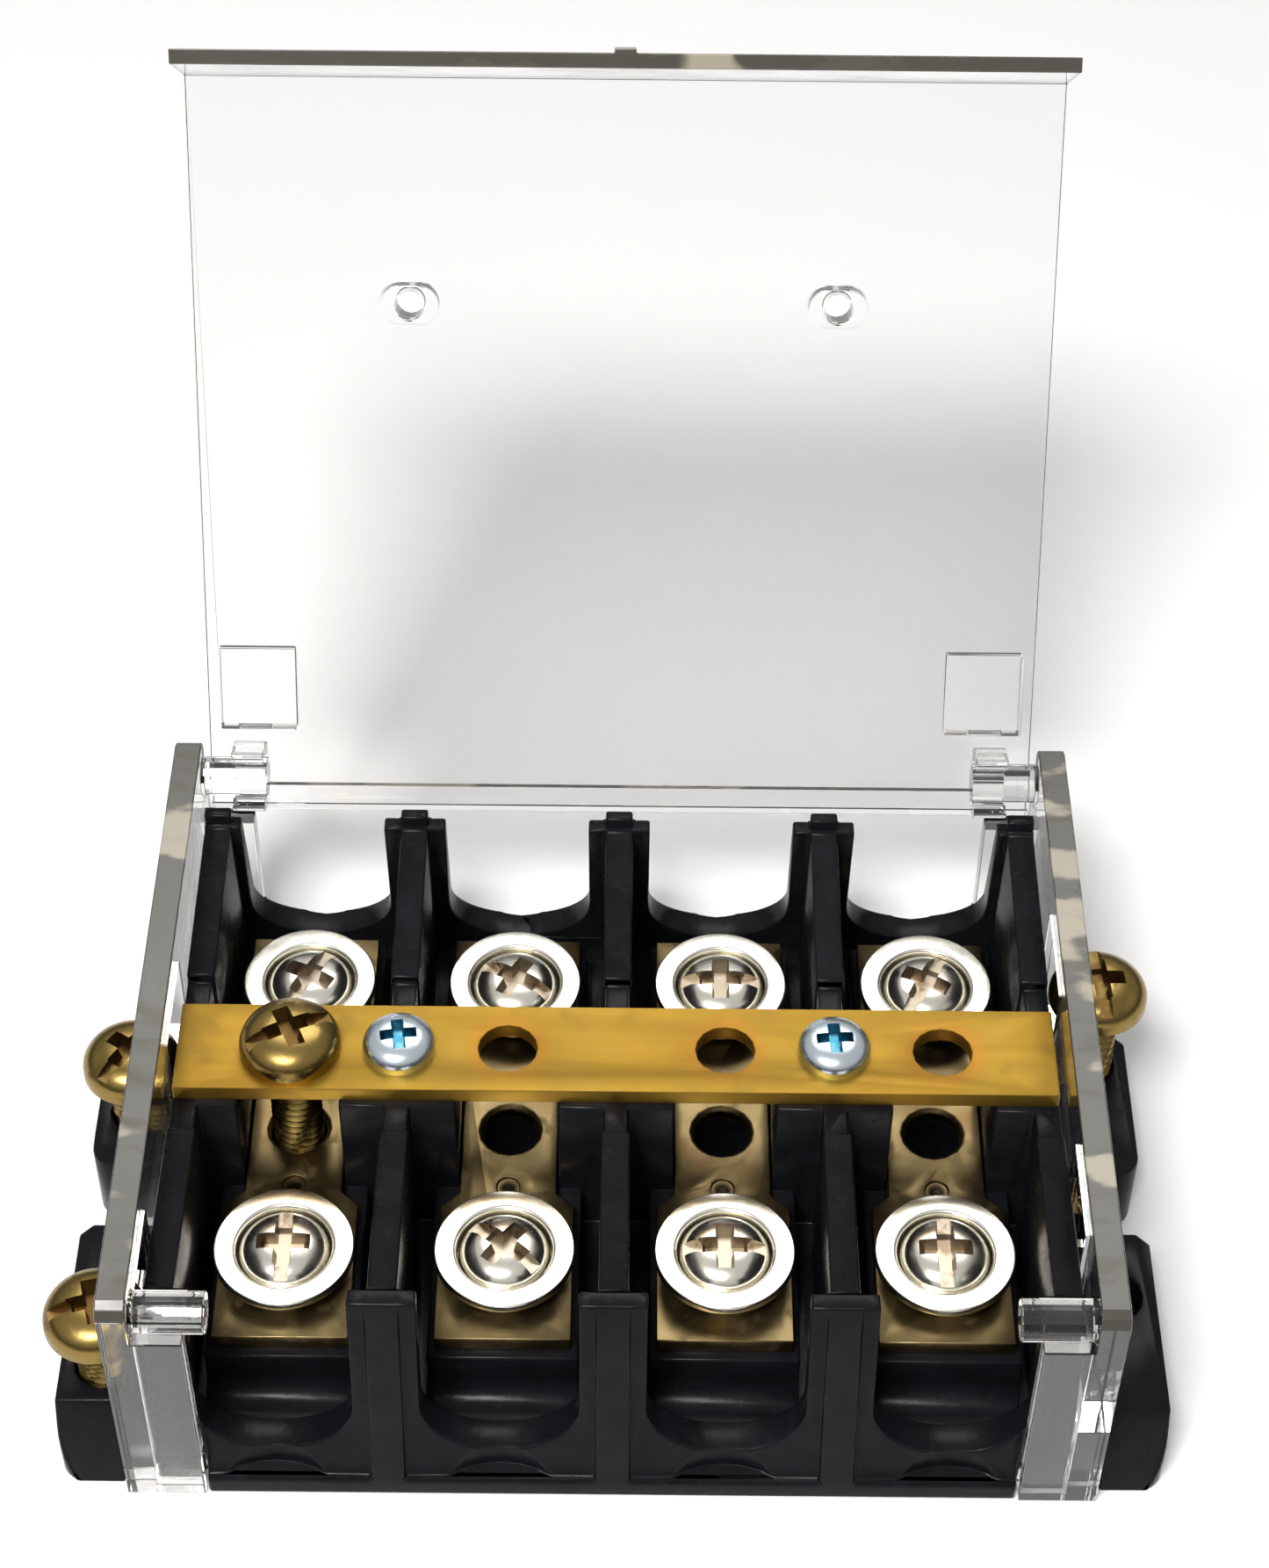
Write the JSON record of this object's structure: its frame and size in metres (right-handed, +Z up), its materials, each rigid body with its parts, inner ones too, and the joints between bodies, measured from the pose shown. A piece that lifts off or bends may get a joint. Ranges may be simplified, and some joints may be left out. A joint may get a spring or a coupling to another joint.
{
  "type": "short-circuiting terminal block",
  "caption": "Barrier terminal block with screw terminals, a brass shorting bar and a hinged clear cover between clear end plates.",
  "frame": {"origin": "centre of the moulded base, on its underside, which stands on the panel", "axes": "+X along the row of poles to the right, +Y from the front wire entries to the hinge side, +Z up out of the panel"},
  "size_m": [0.0956, 0.0938, 0.0879],
  "materials": {
    "black_phenolic": "satin compression moulding",
    "tarnished_strap": "dulled nickel plate, stained round its tapped holes",
    "bright_nickel": "bright nickel plate",
    "bar_brass": "rolled brass with a fine grain and a light patina",
    "dark_brass": "tarnished brass",
    "zinc_plate": "blue-white zinc plate",
    "clear_plastic": "clear moulded plastic with a warm cast at its cut edges"
  },
  "bodies": {
    "block": {"base_moulding": "black_phenolic", "terminal_strap_1": "tarnished_strap", "terminal_strap_2": "tarnished_strap", "terminal_strap_3": "tarnished_strap", "terminal_strap_4": "tarnished_strap", "strap_rivet_1": "tarnished_strap", "strap_rivet_2": "tarnished_strap", "strap_rivet_3": "tarnished_strap", "strap_rivet_4": "tarnished_strap", "shorting_bar": "bar_brass", "bar_insert_left": "dark_brass", "bar_insert_right": "dark_brass", "bar_screw_left": "zinc_plate", "bar_screw_right": "zinc_plate", "end_plate_left": "clear_plastic", "end_plate_right": "clear_plastic"},
    "cover": {"cover": "clear_plastic"},
    "washer_front_1": {"washer_front_1": "bright_nickel"},
    "terminal_screw_front_1": {"terminal_screw_front_1": "bright_nickel"},
    "washer_front_2": {"washer_front_2": "bright_nickel"},
    "terminal_screw_front_2": {"terminal_screw_front_2": "bright_nickel"},
    "washer_front_3": {"washer_front_3": "bright_nickel"},
    "terminal_screw_front_3": {"terminal_screw_front_3": "bright_nickel"},
    "washer_front_4": {"washer_front_4": "bright_nickel"},
    "terminal_screw_front_4": {"terminal_screw_front_4": "bright_nickel"},
    "washer_rear_1": {"washer_rear_1": "bright_nickel"},
    "terminal_screw_rear_1": {"terminal_screw_rear_1": "bright_nickel"},
    "washer_rear_2": {"washer_rear_2": "bright_nickel"},
    "terminal_screw_rear_2": {"terminal_screw_rear_2": "bright_nickel"},
    "washer_rear_3": {"washer_rear_3": "bright_nickel"},
    "terminal_screw_rear_3": {"terminal_screw_rear_3": "bright_nickel"},
    "washer_rear_4": {"washer_rear_4": "bright_nickel"},
    "terminal_screw_rear_4": {"terminal_screw_rear_4": "bright_nickel"},
    "shorting_screw_in_bar": {"shorting_screw_in_bar": "dark_brass"},
    "stored_screw_left_front": {"stored_screw_left_front": "dark_brass"},
    "stored_screw_left_rear": {"stored_screw_left_rear": "dark_brass"},
    "stored_screw_right_rear": {"stored_screw_right_rear": "dark_brass"}
  },
  "joints": [
    {"name": "cover_hinge", "type": "hinge", "parent": "block", "child": "cover", "pos_m": [0, 0.02985, 0.024], "axis": [-1, 0, 0], "range_deg": [-116, 0]},
    {"name": "washer_front_1_lift", "type": "slide", "parent": "block", "child": "washer_front_1", "axis": [0, 0, 1], "range_m": [0, 0.003]},
    {"name": "terminal_screw_front_1_turn", "type": "hinge", "parent": "washer_front_1", "child": "terminal_screw_front_1", "pos_m": [-0.02857, -0.015, 0.0104], "axis": [0, 0, 1], "range_deg": [0, 1360.63]},
    {"name": "washer_front_2_lift", "type": "slide", "parent": "block", "child": "washer_front_2", "axis": [0, 0, 1], "range_m": [0, 0.003]},
    {"name": "terminal_screw_front_2_turn", "type": "hinge", "parent": "washer_front_2", "child": "terminal_screw_front_2", "pos_m": [-0.00953, -0.015, 0.0104], "axis": [0, 0, 1], "range_deg": [0, 1360.63]},
    {"name": "washer_front_3_lift", "type": "slide", "parent": "block", "child": "washer_front_3", "axis": [0, 0, 1], "range_m": [0, 0.003]},
    {"name": "terminal_screw_front_3_turn", "type": "hinge", "parent": "washer_front_3", "child": "terminal_screw_front_3", "pos_m": [0.00953, -0.015, 0.0104], "axis": [0, 0, 1], "range_deg": [0, 1360.63]},
    {"name": "washer_front_4_lift", "type": "slide", "parent": "block", "child": "washer_front_4", "axis": [0, 0, 1], "range_m": [0, 0.003]},
    {"name": "terminal_screw_front_4_turn", "type": "hinge", "parent": "washer_front_4", "child": "terminal_screw_front_4", "pos_m": [0.02857, -0.015, 0.0104], "axis": [0, 0, 1], "range_deg": [0, 1360.63]},
    {"name": "washer_rear_1_lift", "type": "slide", "parent": "block", "child": "washer_rear_1", "axis": [0, 0, 1], "range_m": [0, 0.003]},
    {"name": "terminal_screw_rear_1_turn", "type": "hinge", "parent": "washer_rear_1", "child": "terminal_screw_rear_1", "pos_m": [-0.02857, 0.015, 0.0104], "axis": [0, 0, 1], "range_deg": [0, 1360.63]},
    {"name": "washer_rear_2_lift", "type": "slide", "parent": "block", "child": "washer_rear_2", "axis": [0, 0, 1], "range_m": [0, 0.003]},
    {"name": "terminal_screw_rear_2_turn", "type": "hinge", "parent": "washer_rear_2", "child": "terminal_screw_rear_2", "pos_m": [-0.00953, 0.015, 0.0104], "axis": [0, 0, 1], "range_deg": [0, 1360.63]},
    {"name": "washer_rear_3_lift", "type": "slide", "parent": "block", "child": "washer_rear_3", "axis": [0, 0, 1], "range_m": [0, 0.003]},
    {"name": "terminal_screw_rear_3_turn", "type": "hinge", "parent": "washer_rear_3", "child": "terminal_screw_rear_3", "pos_m": [0.00953, 0.015, 0.0104], "axis": [0, 0, 1], "range_deg": [0, 1360.63]},
    {"name": "washer_rear_4_lift", "type": "slide", "parent": "block", "child": "washer_rear_4", "axis": [0, 0, 1], "range_m": [0, 0.003]},
    {"name": "terminal_screw_rear_4_turn", "type": "hinge", "parent": "washer_rear_4", "child": "terminal_screw_rear_4", "pos_m": [0.02857, 0.015, 0.0104], "axis": [0, 0, 1], "range_deg": [0, 1360.63]},
    {"name": "shorting_screw_in_bar_lift", "type": "slide", "parent": "block", "child": "shorting_screw_in_bar", "axis": [0, 0, 1], "range_m": [0, 0.012]},
    {"name": "stored_screw_left_front_lift", "type": "slide", "parent": "block", "child": "stored_screw_left_front", "axis": [0, 0, 1], "range_m": [0, 0.0055]},
    {"name": "stored_screw_left_rear_lift", "type": "slide", "parent": "block", "child": "stored_screw_left_rear", "axis": [0, 0, 1], "range_m": [0, 0.0055]},
    {"name": "stored_screw_right_rear_lift", "type": "slide", "parent": "block", "child": "stored_screw_right_rear", "axis": [0, 0, 1], "range_m": [0, 0.0025]}
  ],
  "couplings": [
    {"joint": "terminal_screw_front_1_turn", "follows": "washer_front_1_lift", "rad_per_m": 7915.8},
    {"joint": "terminal_screw_front_2_turn", "follows": "washer_front_2_lift", "rad_per_m": 7915.8},
    {"joint": "terminal_screw_front_3_turn", "follows": "washer_front_3_lift", "rad_per_m": 7915.8},
    {"joint": "terminal_screw_front_4_turn", "follows": "washer_front_4_lift", "rad_per_m": 7915.8},
    {"joint": "terminal_screw_rear_1_turn", "follows": "washer_rear_1_lift", "rad_per_m": 7915.8},
    {"joint": "terminal_screw_rear_2_turn", "follows": "washer_rear_2_lift", "rad_per_m": 7915.8},
    {"joint": "terminal_screw_rear_3_turn", "follows": "washer_rear_3_lift", "rad_per_m": 7915.8},
    {"joint": "terminal_screw_rear_4_turn", "follows": "washer_rear_4_lift", "rad_per_m": 7915.8}
  ]
}
